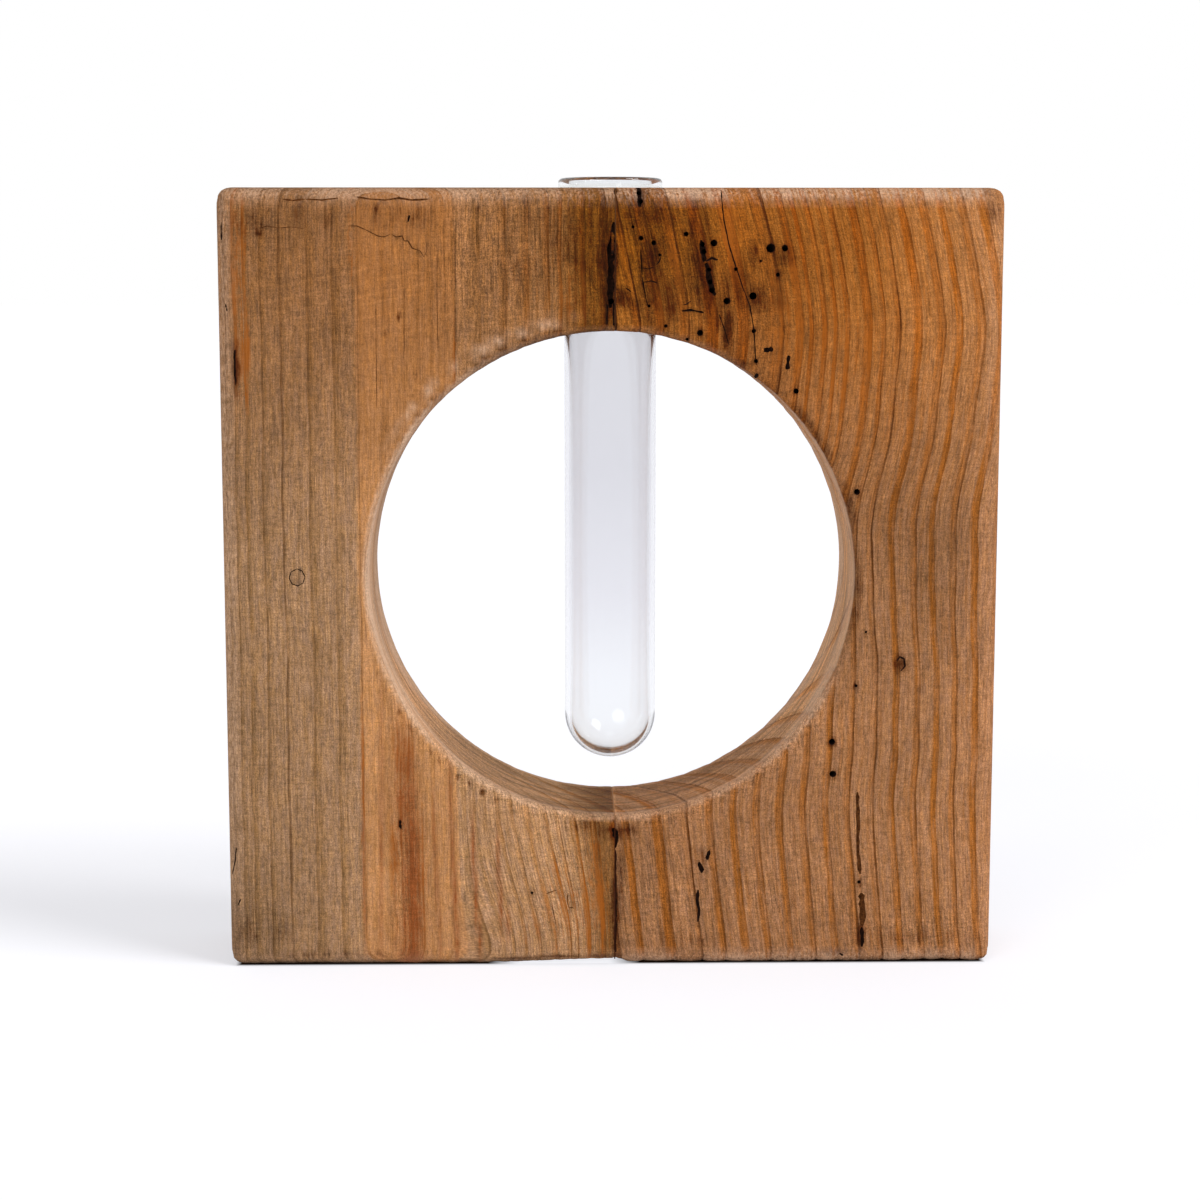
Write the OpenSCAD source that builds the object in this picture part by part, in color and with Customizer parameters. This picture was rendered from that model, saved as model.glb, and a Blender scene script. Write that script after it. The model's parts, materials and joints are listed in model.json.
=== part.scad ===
// Test-tube vase: two old softwood boards glued edge to edge into a square block with a round
// window, and a glass test tube that hangs from a bore in the top of the block.
// Millimetres. +Z is up, the front looks along -Y, and the origin is the middle of the base.

/* [Block] */
// Width of the block, over both boards
block_w = 200; // [180:1:240]
// Height of the block
block_h = 202; // [197:1:240]
// Thickness of the boards, from front to back
block_t = 38; // [36:0.5:60]
// Radius of the sanded outer edges
edge_r = 4; // [1:0.5:5.5]

/* [Window] */
// Diameter of the round window through the block
window_d = 125.5; // [100:0.5:140]
// Wood left under the window
bottom_rail = 40.3; // [30:0.1:48]
// Radius of the eased edges of the window
window_edge_r = 2; // [0.5:0.25:4]

/* [Glue joint] */
// Distance from the middle of the block to the glue joint, positive to the right
joint_offset = 0.9; // [-6:0.1:6]
// Thickness of the glue film between the boards
glue_t = 0.3; // [0.1:0.05:0.6]

/* [Hollow under the joint] */
// Height of the worn hollow in the underside, at the joint
hollow_h = 1.5; // [0.4:0.1:2.5]
// Length of its long slope, under the left board
hollow_left = 42; // [20:1:60]
// Length of its short slope, under the right board
hollow_right = 4.5; // [2:0.5:15]

/* [Test tube] */
// Outer diameter of the tube
tube_od = 24; // [18:0.5:27]
// Thickness of the glass wall
tube_wall = 1.2; // [0.8:0.1:1.8]
// Thickness of the glass at the lowest point of the round end
tube_end_wall = 1.8; // [1:0.1:3]
// Length of the tube over all, with its lip
tube_len = 152.5; // [120:0.5:158]
// Height of the rolled lip that stands above the wood
lip_h = 2.8; // [2:0.1:5]
// Reach of the lip past the edge of the bore, where it rests on the wood
lip_seat = 1; // [0.6:0.1:2.4]
// Gap all round between the tube and its bore
bore_clearance = 0.5; // [0.2:0.05:1]

/* [Hidden] */
// Rounding of the lip's upper rim, on the outside
lip_rim_r = 1;
// Rounding of the lip's lower rim, above the wood
lip_under_r = 0.35;
// Rounding of the mouth, where the flame has melted the inner rim
mouth_r = 0.9;
// How far a cut runs past what it cuts
overrun = 2;
// Facets in each slope of the hollow
slope_steps = 6;
$fn = 96;

window_r = window_d / 2;
window_z = bottom_rail + window_r;
tube_r = tube_od / 2;
inner_r = tube_r - tube_wall;
bore_r = tube_r + bore_clearance;
lip_r = bore_r + lip_seat;
tube_top = block_h + lip_h;
tube_end = tube_top - tube_len;
bore_end = tube_end - bore_clearance;

// Rectangle with round corners, centred
module rounded_rect(w, h, r) {
    difference() {
        square([w, h], center = true);
        for (turn = [0, 180], flip = [0, 1])
            rotate(turn) mirror([flip, 0]) translate([w / 2 - r, h / 2 - r]) difference() {
                square(r + overrun);
                circle(r);
            }
    }
}

// The square block before the window and the bore: the same round edge seen from three sides
module blank() {
    translate([0, 0, block_h / 2]) intersection() {
        rotate([90, 0, 0]) linear_extrude(block_t, center = true)
            rounded_rect(block_w, block_h, edge_r);
        linear_extrude(block_h, center = true)
            rounded_rect(block_w, block_t, edge_r);
        rotate([90, 0, 90]) linear_extrude(block_w, center = true)
            rounded_rect(block_t, block_h, edge_r);
    }
}

// One side of the window's outline, from its axis out and from mid-thickness to one face
module window_half_profile() {
    ease_start = block_t / 2 - window_edge_r;
    square([window_r, block_t / 2 + overrun]);
    translate([window_r, ease_start]) difference() {
        square([window_edge_r, window_edge_r + overrun]);
        translate([window_edge_r, 0]) circle(window_edge_r);
    }
}

// What the router takes out: a round window, eased at both faces
module window_cut() {
    translate([0, 0, window_z]) rotate([90, 0, 0]) rotate_extrude() {
        window_half_profile();
        mirror([0, 1]) window_half_profile();
    }
}

// The bore for the tube, from the top of the block to just under the tube's end. It opens into
// the window, and a tube too long for the window gets a socket in the wood under it.
module bore_cut() {
    translate([0, 0, bore_end]) cylinder(r = bore_r, h = block_h - bore_end + overrun);
}

// Share of its height that a slope has reached, along a smooth step
function slope_share(step) = (1 - cos(180 * step / slope_steps)) / 2;

// Worn hollow across the underside: a long slope up to the joint and a short one down from it
module hollow_cut() {
    rising = [for (i = [0:slope_steps])
        [joint_offset - hollow_left * (1 - i / slope_steps), hollow_h * slope_share(i)]];
    falling = [for (i = [1:slope_steps])
        [joint_offset + hollow_right * i / slope_steps, hollow_h * slope_share(slope_steps - i)]];
    foot = [[joint_offset + hollow_right, -overrun], [joint_offset - hollow_left, -overrun]];
    rotate([90, 0, 0]) linear_extrude(block_t + 2 * overrun, center = true)
        polygon(concat(rising, falling, foot));
}

// The whole block as it is after the boards are glued, routed, bored and sanded
module block() {
    difference() {
        blank();
        window_cut();
        bore_cut();
        hollow_cut();
    }
}

// The stretch of the block between two places along its width
module block_between(left, right) {
    intersection() {
        block();
        translate([left, -block_t / 2 - overrun, -overrun])
            cube([right - left, block_t + 2 * overrun, block_h + 2 * overrun]);
    }
}

module left_board() {
    color("#a47850") block_between(-block_w / 2 - overrun, joint_offset - glue_t / 2);
}

module right_board() {
    color("#ab7342") block_between(joint_offset + glue_t / 2, block_w / 2 + overrun);
}

// Dark glue film: one strip under the window, and one on each side of the bore above it
module glue_line() {
    color("#3b2415") block_between(joint_offset - glue_t / 2, joint_offset + glue_t / 2);
}

// Half outline of the outside of the tube, with the lip resting on top of the block
module tube_outside() {
    translate([0, tube_end + tube_r]) {
        intersection() {
            circle(tube_r);
            translate([0, -tube_r]) square(tube_r);
        }
        square([tube_r, tube_len - tube_r]);
    }
    translate([0, block_h]) difference() {
        square([lip_r, lip_h]);
        translate([lip_r - lip_rim_r, lip_h - lip_rim_r]) difference() {
            square(lip_rim_r + overrun);
            circle(lip_rim_r);
        }
        translate([lip_r - lip_under_r, lip_under_r]) mirror([0, 1]) difference() {
            square(lip_under_r + overrun);
            circle(lip_under_r);
        }
    }
}

// Half outline of the space inside the tube, flared at the mouth
module tube_inside() {
    translate([0, tube_end + tube_end_wall + inner_r]) {
        intersection() {
            circle(inner_r);
            translate([0, -inner_r]) square(inner_r);
        }
        square([inner_r, tube_len - tube_end_wall - inner_r + overrun]);
    }
    translate([inner_r, tube_top - mouth_r]) difference() {
        square([mouth_r, mouth_r + overrun]);
        translate([mouth_r, 0]) circle(mouth_r);
    }
}

module glass_tube() {
    color("#dfe6ea", 0.4) rotate_extrude() difference() {
        tube_outside();
        tube_inside();
    }
}

left_board();
right_board();
glue_line();
glass_tube();
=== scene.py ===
# Test-tube vase: two old softwood boards glued edge to edge, a round window and a glass test tube.
import functools
import json
import math

import bmesh
import bpy
import numpy as np
from mathutils import Matrix, Vector


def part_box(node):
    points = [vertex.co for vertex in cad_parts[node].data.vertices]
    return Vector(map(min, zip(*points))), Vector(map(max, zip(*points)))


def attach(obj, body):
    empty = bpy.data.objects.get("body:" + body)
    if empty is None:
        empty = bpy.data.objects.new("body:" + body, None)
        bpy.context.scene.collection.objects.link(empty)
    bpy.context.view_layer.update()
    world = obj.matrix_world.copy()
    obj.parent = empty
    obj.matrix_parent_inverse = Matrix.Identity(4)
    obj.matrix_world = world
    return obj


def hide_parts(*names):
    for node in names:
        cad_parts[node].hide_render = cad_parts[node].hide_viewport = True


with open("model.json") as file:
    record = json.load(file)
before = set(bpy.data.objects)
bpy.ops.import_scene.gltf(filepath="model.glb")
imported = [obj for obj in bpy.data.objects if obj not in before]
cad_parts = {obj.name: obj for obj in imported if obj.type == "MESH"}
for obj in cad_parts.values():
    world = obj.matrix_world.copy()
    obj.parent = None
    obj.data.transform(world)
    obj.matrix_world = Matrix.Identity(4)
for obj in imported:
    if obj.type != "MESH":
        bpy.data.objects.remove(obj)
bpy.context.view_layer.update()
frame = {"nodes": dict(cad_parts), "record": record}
mm = 0.001
scene = bpy.context.scene
scene.view_settings.view_transform = "Standard"

# The camera stands where the photograph was taken. Its picture is 1200 pixels square.
cameraSetup = {
    "eye": Vector((-14.4, -639.3, 181.1)) * mm,
    "tilt": math.radians(82.28),
    "turn": math.radians(-1.052),
    "focalPx": 2429.6,
    "picturePx": 1200,
    "sensor": 36,
}
cameraData = bpy.data.cameras.new("camera")
cameraData.sensor_width = cameraSetup["sensor"]
cameraData.lens = cameraSetup["focalPx"] * cameraSetup["sensor"] / cameraSetup["picturePx"]
camera = bpy.data.objects.new("camera", cameraData)
camera.location = cameraSetup["eye"]
camera.rotation_euler = (cameraSetup["tilt"], 0, cameraSetup["turn"])
scene.collection.objects.link(camera)
scene.camera = camera

# The block as the frame has it, in mm
blockLow = np.minimum(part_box("left_board")[0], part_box("right_board")[0]) / mm
blockHigh = np.maximum(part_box("left_board")[1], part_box("right_board")[1]) / mm
jointX = (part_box("left_board")[1].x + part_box("right_board")[0].x) / 2 / mm
jointEdge = [v.co.z / mm for v in frame["nodes"]["left_board"].data.vertices
             if abs(v.co.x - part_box("left_board")[1].x) < 1e-6]
jointEdge = np.unique(np.round(jointEdge, 3))
widest = np.argmax(np.diff(jointEdge))
windowZ = (jointEdge[widest] + jointEdge[widest + 1]) / 2
windowR = math.hypot(jointEdge[widest + 1] - windowZ, jointX)
arrisR = 4  # the round of the outer edges
mergeDistance = 1e-6  # points closer than this are one, in metres
print(f"window {windowR:.2f} mm in radius at {windowZ:.2f} mm, joint at {jointX:.2f} mm")


def facePoint(px, py):
    # where the front face, or its round arris, shows at this pixel of the photograph, in mm
    middle = cameraSetup["picturePx"] / 2
    ray = camera.rotation_euler.to_matrix() @ Vector((px - middle, middle - py, -cameraSetup["focalPx"]))
    eye = camera.location / mm
    point = eye + ray * ((blockLow[1] - eye.y) / ray.y)
    over = max(point.z - blockHigh[2], point.x - blockHigh[0], blockLow[0] - point.x) + arrisR
    over = min(max(over, 0), 0.9 * arrisR)  # the last of the arris is seen edge on
    return point + ray * ((arrisR - math.sqrt(arrisR ** 2 - over ** 2)) / ray.y)


def linear(code):
    # sRGB hex to the linear colour that Blender works in
    parts = [int(code[i:i + 2], 16) / 255 for i in (1, 3, 5)]
    return [c / 12.92 if c <= 0.04045 else ((c + 0.055) / 1.055) ** 2.4 for c in parts] + [1]


def addNode(tree, kind, inputs=(), out=None, stops=(), **settings):
    # one node with its settings, its values and links in the order of its sockets, and ramp stops
    node = tree.nodes.new(kind)
    for name, value in settings.items():
        setattr(node, name, value)
    for k, (place, colour) in enumerate(stops):
        spot = node.color_ramp.elements[k] if k < 2 else node.color_ramp.elements.new(place)
        spot.position = place
        spot.color = linear(colour) if isinstance(colour, str) else [colour] * 3 + [1]
    sockets = [s for s in node.inputs if s.enabled]
    byName = {s.name: s for s in reversed(sockets)}
    pairs = inputs.items() if isinstance(inputs, dict) else enumerate(inputs)
    for place, value in pairs:
        socket = byName[place] if isinstance(place, str) else sockets[place]
        if isinstance(value, bpy.types.NodeSocket):
            tree.links.new(value, socket)
        else:
            socket.default_value = value
    return node.outputs[out] if out else next((s for s in node.outputs if s.enabled), node)


def newMaterial(name):
    material = bpy.data.materials.new(name)
    material.use_nodes = True
    material.node_tree.nodes.clear()
    return material, functools.partial(addNode, material.node_tree)


def newPiece(name, mesh, *materials):
    piece = bpy.data.objects.new(name, mesh)
    scene.collection.objects.link(piece)
    mesh.materials.clear()
    for material in materials:
        mesh.materials.append(material)
    return piece


def openMesh(mesh):
    shape = bmesh.new()
    shape.from_mesh(mesh)
    bmesh.ops.remove_doubles(shape, verts=shape.verts, dist=mergeDistance)
    return shape


def closeMesh(shape, mesh):
    shape.to_mesh(mesh)
    shape.free()
    return mesh


def settle(piece):
    # the modifiers become the mesh
    seen = piece.evaluated_get(bpy.context.evaluated_depsgraph_get())
    mesh = bpy.data.meshes.new_from_object(seen)
    piece.modifiers.clear()
    piece.data = mesh


crumbFaces = 20  # an island with fewer faces is a crumb


def dropCrumbs(piece):
    # triangles only, without the flat fins and the crumbs of a few faces that the cutters leave
    shape = bmesh.new()
    shape.from_mesh(piece.data)
    bmesh.ops.triangulate(shape, faces=shape.faces)
    twins = {}
    for face in shape.faces:
        twins.setdefault(frozenset(vert.index for vert in face.verts), []).append(face)
    fins = [face for same in twins.values() if len(same) > 1 for face in same]
    bmesh.ops.delete(shape, geom=fins, context="FACES")
    fins = [face for face in shape.faces if sum(len(edge.link_faces) == 1 for edge in face.edges) > 1]
    bmesh.ops.delete(shape, geom=fins, context="FACES")
    crumbs = []
    waiting = set(shape.faces)
    while waiting:
        island = [waiting.pop()]
        for face in island:
            near = {other for edge in face.edges for other in edge.link_faces} & waiting
            waiting -= near
            island += near
        if len(island) < crumbFaces:
            crumbs += island
    bmesh.ops.delete(shape, geom=crumbs, context="FACES")
    closeMesh(shape, piece.data)


def cutAway(piece, cutters, materialMode):
    # with TRANSFER the cuts are lined with the cutters' own material
    for cutter in cutters:
        cut = piece.modifiers.new(cutter.name, "BOOLEAN")
        cut.operation = "DIFFERENCE"
        cut.solver = "MANIFOLD"
        cut.material_mode = materialMode
        cut.object = cutter
    settle(piece)
    dropCrumbs(piece)


def readMesh(mesh, field):
    values = np.empty(len(mesh.vertices) * 3)
    mesh.vertices.foreach_get(field, values)
    return values.reshape(-1, 3)


def smoothStep(low, high, x):
    t = np.clip((x - low) / (high - low), 0, 1)
    return t * t * (3 - 2 * t)


waves = {"count": 7, "lengths": (0.7, 1.5), "crest": 3.2}


def ripple(points, size, seed):
    # smooth waves about size mm long, from -1 to 1, the same each run
    rng = np.random.default_rng(seed)
    total = np.zeros(len(points))
    for _ in range(waves["count"]):
        way = rng.normal(size=3)
        way *= 2 * math.pi / (size * rng.uniform(*waves["lengths"])) / np.linalg.norm(way)
        total += np.sin(points @ way + rng.uniform(0, 2 * math.pi))
    return np.clip(total / waves["crest"], -1, 1)


# Growth rings: where their dark lines show on the front, in mm across, under and over the window.
# The rings run round the pith (x, y). The right board's lines swing aside under the top edge
# (height, how far) and lean at the foot. Lines waver (how far, how long a wave), and those under the
# window become those over it between two heights. Tones go from left to right over the board, low
# down and near the top. Early wood, late wood and the dark line at the end of a year each change the
# tone by their factors, far from the joint and near it. So do the window's wall, where the factor is
# painted light on the upright sides, and the end grain, which is darker in itself and whose factor
# also paints shade on the window's floor.
rightBoard = {
    "node": "right_board", "slot": "right_wood", "seed": 11, "pith": (-48, -25),
    "linesLow": (6.2, 14.8, 21.9, 28.2, 34.2, 40.1, 46.2, 52.1, 57.9, 63.5, 69.6, 75, 80.6, 85.6, 90.3,
                 95.8),
    "firstLow": 3,
    "linesHigh": (6.5, 13, 20, 28, 37, 42, 44.6, 48.2, 50.9, 54, 60, 63.3, 67, 72.6, 78.4, 82.7, 88.4,
                  94),
    "firstHigh": 1,
    "swing": ((0, 1), (21, 0), (54, -0.3), (96, -0.5), (119, 0.2), (127, 1.4), (133, 2.9), (140, 4.4),
              (151, 5.6), (163, 6.7), (172, 6.6), (188, 3.4), (202, 0)),
    "swingBlur": (-5, -2, 2, 5), "waver": (0.35, 26), "change": (62, 124),
    "lean": 0.045, "jointLean": 0.06, "leanReach": 40, "leanFrom": 21, "leanEnds": (60, 40),
    "groove": 0.3,
    "lowTone": ((0, "#8b5d35"), (0.3, "#916138"), (0.6, "#906037"), (0.85, "#95643a"), (1, "#9f6a3e")),
    "topTone": ((0, "#7c4409"), (0.3, "#824710"), (0.6, "#95561c"), (0.85, "#a16530"), (1, "#aa7242")),
    "heartTones": ("#916139", "#824718"),
    "early": ((1.17, 1.32, 1.78), (1.16, 1.3, 1.75)), "late": ((1.04, 0.83, 0.42), (1, 0.77, 0.36)),
    "line": ((0.36, 0.28, 0.18), (0.3, 0.22, 0.14)),
    "lateFrom": (0.6, 0.5), "lateSoft": 0.16, "lateShare": 1, "lineShare": 0.9, "streaks": 0.4,
    # wall: painted light on the window's upright wall; endGrain: darker end grain that also paints shade on
    # the window's floor
    "wall": (1.7, 1.9, 2), "endGrain": 0.82,
}
leftBoard = {
    "node": "left_board", "slot": "left_wood", "seed": 5, "pith": (-57.6, -34),
    "linesLeft": (-98.5, -96, -93.3, -89, -84, -77, -70.6, -64.6, -60.4),
    "linesLow": (-56.5, -53, -49, -46, -42, -38, -35.5, -33, -29.7, -26.1, -21.9, -17.2, -14.5, -9.8,
                 -4.6),
    "linesHigh": (-56.5, -53, -49, -45.8, -42.5, -40, -33.6, -26.8, -20.9, -15.6, -12.6, -6.6, -1.5),
    "heartReach": (16.7, 23), "waver": (0.3, 30), "change": (70, 124),
    "bend": 8, "bendFrom": (-44, -27), "bendEnds": (-14, 0), "bendHeights": (46, 0),
    "groove": 0.13,
    "lowTone": ((0, "#916f4f"), (0.3, "#9a7655"), (0.62, "#a8805c"), (0.85, "#a87e58"), (0.95, "#82582f"),
                (1, "#764c26")),
    "topTone": ((0, "#875d38"), (0.3, "#875c37"), (0.62, "#8e613a"), (0.84, "#865931"), (0.92, "#794812"),
                (1, "#71400c")),
    "heartTones": ("#b07e51", "#976336"),
    "early": ((1.07, 1.08, 1.11), (1.14, 1.19, 1.26)), "late": ((0.91, 0.87, 0.74), (0.98, 0.76, 0.42)),
    "line": ((0.42, 0.34, 0.24), (0.36, 0.26, 0.16)),
    "lateFrom": (0.5, 0.5), "lateSoft": 0.35, "lateShare": 0.95, "lineShare": 0.65, "streaks": 0.5,
    # wall: painted light on the window's upright wall; endGrain: darker end grain that also paints shade on
    # the window's floor
    "wall": (1.24, 1.18, 1.13), "endGrain": 0.6,
}
moreRings = 12  # rings past the outer lines
moreSpacing = 6
waverShape = (0.5, 0.3, 1)  # waves are longer across and through the board than along it


def ringNumber(place, lines, first):
    # lines at rising places are rings first, first + 1 and so on, and more follow at both ends
    before = [lines[0] - moreSpacing * k for k in range(moreRings, 0, -1)]
    after = [lines[-1] + moreSpacing * k for k in range(1, moreRings + 1)]
    rings = np.arange(first - moreRings, first + len(lines) + moreRings)
    return np.interp(place, [*before, *lines, *after], rings)


def rightRings(co):
    # ring number, place along the grain and heartwood for points of the right board
    x, y, z = co.T
    pithX, pithY = rightBoard["pith"]
    heights, shifts = zip(*rightBoard["swing"])
    swing = np.mean([np.interp(z + step, heights, shifts) for step in rightBoard["swingBlur"]], axis=0)
    nearJoint = np.exp(-np.maximum(x, 0) / rightBoard["leanReach"])
    lean = (rightBoard["lean"] + rightBoard["jointLean"] * nearJoint) * (rightBoard["leanFrom"] - z)
    lean *= smoothStep(*rightBoard["leanEnds"], z)
    waver, length = rightBoard["waver"]
    straight = x - swing - lean + waver * ripple(co * waverShape, length, rightBoard["seed"])
    out = np.sqrt((straight - pithX) ** 2 + (y - pithY) ** 2 - (blockLow[1] - pithY) ** 2) + pithX
    low = ringNumber(out, rightBoard["linesLow"], rightBoard["firstLow"])
    high = ringNumber(out, rightBoard["linesHigh"], rightBoard["firstHigh"])
    ring = low + (high - low) * smoothStep(*rightBoard["change"], z)
    return ring, np.column_stack([straight, y, z]), np.zeros(len(co))


def leftRings(co):
    # the same for the left board, whose rings loop round a pith in front of it
    x, y, z = co.T
    pithX, pithY = leftBoard["pith"]
    gap = blockLow[1] - pithY
    bend = leftBoard["bend"] * smoothStep(*leftBoard["bendFrom"], x)
    bend *= 1 - 0.6 * smoothStep(*leftBoard["bendEnds"], x)
    bend *= smoothStep(*leftBoard["bendHeights"], z)
    waver, length = leftBoard["waver"]
    straight = x - bend + waver * ripple(co * waverShape, length, leftBoard["seed"])
    across = straight - pithX
    far = np.hypot(across, y - pithY) - gap
    left, low, high = (
        ringNumber(far, sorted(math.hypot(place - pithX, gap) - gap for place in leftBoard[key]), 1)
        for key in ("linesLeft", "linesLow", "linesHigh"))
    right = low + (high - low) * smoothStep(*leftBoard["change"], z)
    ring = left + (right - left) * smoothStep(-9, 9, across)
    nearLeft, nearRight = leftBoard["heartReach"]
    edge = nearLeft + (nearRight - nearLeft) * smoothStep(-6, 12, across)
    heart = smoothStep(edge + 0.5, edge - 0.5, np.hypot(across, y - pithY))
    return ring, np.column_stack([straight, y, z]), heart


# Marks on the front, by their pixels in the photograph. Worm holes: middle, and width in mm.
wormHoles = (
    (633, 227, 0.9), (641, 238, 1.3), (654, 243, 1.4), (660, 255, 0.9), (686, 234, 1.4), (714, 243, 1.9),
    (727, 301, 1.9), (649, 306, 0.9), (700, 333, 1.7), (687, 340, 1), (771, 248, 2.5), (785, 248, 1.8),
    (761, 261, 0.7), (778, 275, 1.2), (753, 296, 2.1), (736, 269, 1.1), (754, 331, 1.2), (756, 361, 1.2),
    (757, 375, 1.1), (796, 391, 1.5), (857, 492, 1.7), (856, 686, 0.9), (832, 742, 1.8), (833, 774, 1.9),
    (859, 882, 1), (532, 893, 0.8), (666, 326, 1), (866, 632, 0.7), (702, 244, 1.5), (703, 252, 1.7),
    (709, 270, 1.3), (710, 281, 1.5), (712, 290, 1.7), (639, 192, 1.4), (640, 201, 1.5), (611, 301, 1.7),
)
# Galleries that a worm ran just under the face: their way, and width in mm
galleries = (
    ((701.5, 240), (702.5, 248), (703, 256), (705, 262), 1.5),
    ((706, 263), (708.5, 272), (709.5, 282), (712, 290), (715, 295), 1.5),
    ((640.7, 250), (641.5, 262), (642.3, 275), 0.5),
    ((705, 262), (712, 258), (718, 260), 0.6),
    ((764, 350), (765, 350), (768, 350), (771, 349.3), (772, 349), 1.4),
    ((788.6, 355.5), (788.5, 357), (788.3, 362), (787.7, 368), (787.6, 369.5), 1.1),
    ((710, 850), (708, 856), (707, 860), 1.1),
    ((699, 862), (701, 867), (702, 873), 1.1),
    ((862, 927), (862, 936), (862, 947), 1.1),
    ((682, 311), (691, 310), (698, 311.5), (704, 312.5), 0.6),
)
# Cracks along the grain, and the gap beside the joint
cracks = (
    ((721, 190), (721.5, 196), (722, 202), (724, 220), (729, 245), (735, 264), (743, 288), (750, 306),
     (754, 330), (756, 365), 0.35),
    ((637, 186), (638, 188), (639, 191), (640, 197), (640, 207), 1.3),
    ((698, 890), (697, 900), (699, 910), (698, 922), 0.8),
    ((698, 922), (699, 935), (699, 946), 0.3),
    ((221, 222), (221, 232), (221, 240), 0.7),
    ((225, 304), (226, 308), (227, 312), 0.5),
    ((236, 845), (235, 860), (232, 875), 0.5),
    ((241, 899), (239, 903), (237, 907), 0.4),
    ((839, 953), (842, 956), (845, 957), 0.9),
    ((613.5, 222), (613, 240), (612, 255), 1),
    ((612.5, 828), (615.5, 832), (616, 838), (616, 848), 1.5),
    ((615.5, 920), (615, 938), (615.5, 953), 0.8),
    ((615.5, 850), (615.5, 885), (615.5, 920), 0.7),
    ((612, 232), (611.3, 245), (610.8, 262), (610.6, 285), (610, 308), 1.9),
    ((607.5, 300), (607, 315), (607, 327), 0.55),
    ((613.5, 300), (613.5, 315), (614, 330), 0.5),
    ((626, 288), (629, 290), (631, 292), 0.4),
    ((235, 350), (234.5, 362), (235, 375), (236, 386), 0.7),
    ((642.5, 268), (648, 269), (654, 267), (659, 262), (661, 257), 0.35),
    ((642.3, 277), (644, 288), (646, 299), (648, 306), 0.35),
    ((644, 282), (652, 281), (658, 283.5), 0.4),
    ((297, 569), (291, 572), (289, 578), (292, 584), (298, 586), (303, 583), (305, 577), (302, 571),
     (297, 569), 0.3),
    ((897, 661), (900, 657), (904, 659), (905, 666), (901, 671), 0.5),
    ((716, 306), (722, 322), (729, 345), 0.35),
    ((683, 305), (687, 304), (691, 301), 0.35),
    ((409, 215), (409, 218), (408, 222), 0.7),
    ((400, 820), (400, 824), (401, 829), 0.7),
)
# Shallow brown channels, and hairlines that are hardly open
hairlines = (
    ((282, 199), (293, 200.5), (305, 199), (322, 200), (338, 198), 0.55),
    ((348, 226), (357, 226), (366, 230), (378, 236), (384, 237), (391, 234), 0.28),
    ((391, 234), (396, 237), (402, 236), (404, 241), (408, 241), (412, 248), (420, 251), (424, 257), 0.32),
    ((357, 197), (370, 199), (385, 200), (399, 198), (412, 200), (430, 199), 0.5),
    ((424, 257), (427, 250), (427, 243), 0.2),
    ((257, 229), (267, 226), (279, 228), (292, 227), (305, 229), 0.2),
    ((404, 290), (404, 330), (405, 372), 0.18), ((437, 250), (437, 300), (438, 352), 0.18),
    ((455, 225), (455, 300), (455, 400), 0.22), ((376, 300), (376, 350), (377, 410), 0.18),
    ((546, 894), (551, 892), (557, 890), 0.3), ((552, 905), (554, 915), (556, 925), 0.3),
    ((568, 893), (567, 901), (569, 908), (574, 907), 0.3),
    ((857, 792), (858, 820), (858, 850), (860, 874), 1.2), ((861, 892), (862, 908), (862, 926), 1.7),
)
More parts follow.
